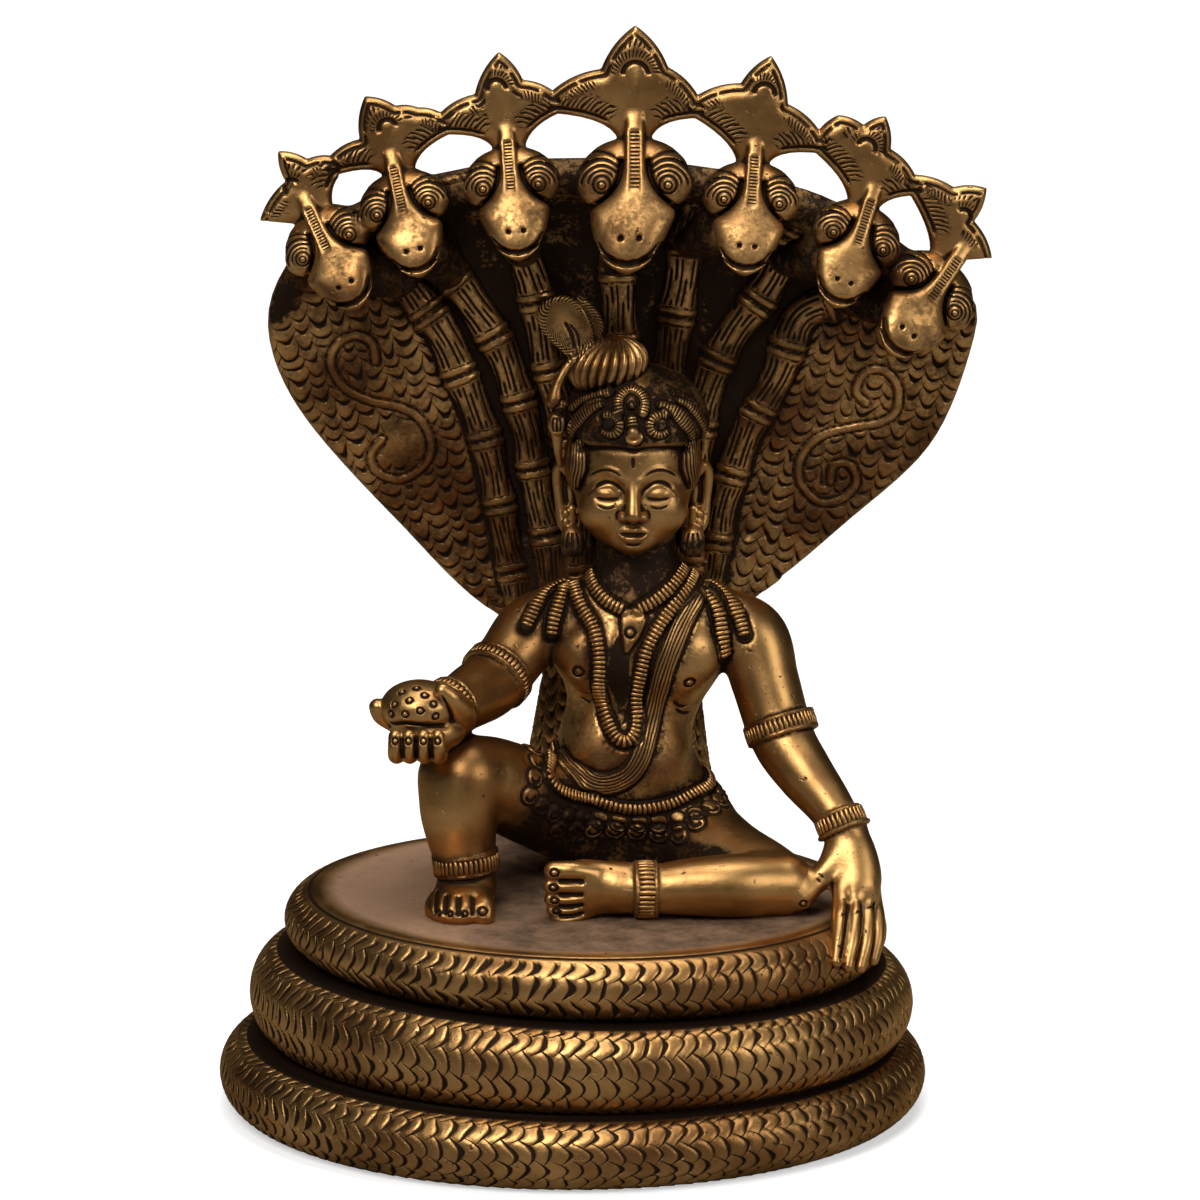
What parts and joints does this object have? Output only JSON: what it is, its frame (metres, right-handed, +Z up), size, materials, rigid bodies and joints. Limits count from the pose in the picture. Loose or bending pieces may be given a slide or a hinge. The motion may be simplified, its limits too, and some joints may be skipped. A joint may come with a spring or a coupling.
{
  "type": "bala krishna figure",
  "caption": "Cast brass figure of a seated child Krishna holding a ball of butter, under a serpent hood with a pierced crest, on a plinth of coiled serpent body.",
  "frame": {"origin": "on the flat underside, below the centre line of the seated figure and the hood", "axes": "+Z up, -Y towards the viewer the figure faces, +X to the viewer's right"},
  "size_m": [0.1432, 0.1136, 0.2029],
  "materials": {
    "brass": "antiqued cast brass: worn golden high places, dark brown patina in every recess"
  },
  "bodies": {
    "root": {"bala_krishna_figure": "brass"}
  },
  "joints": []
}
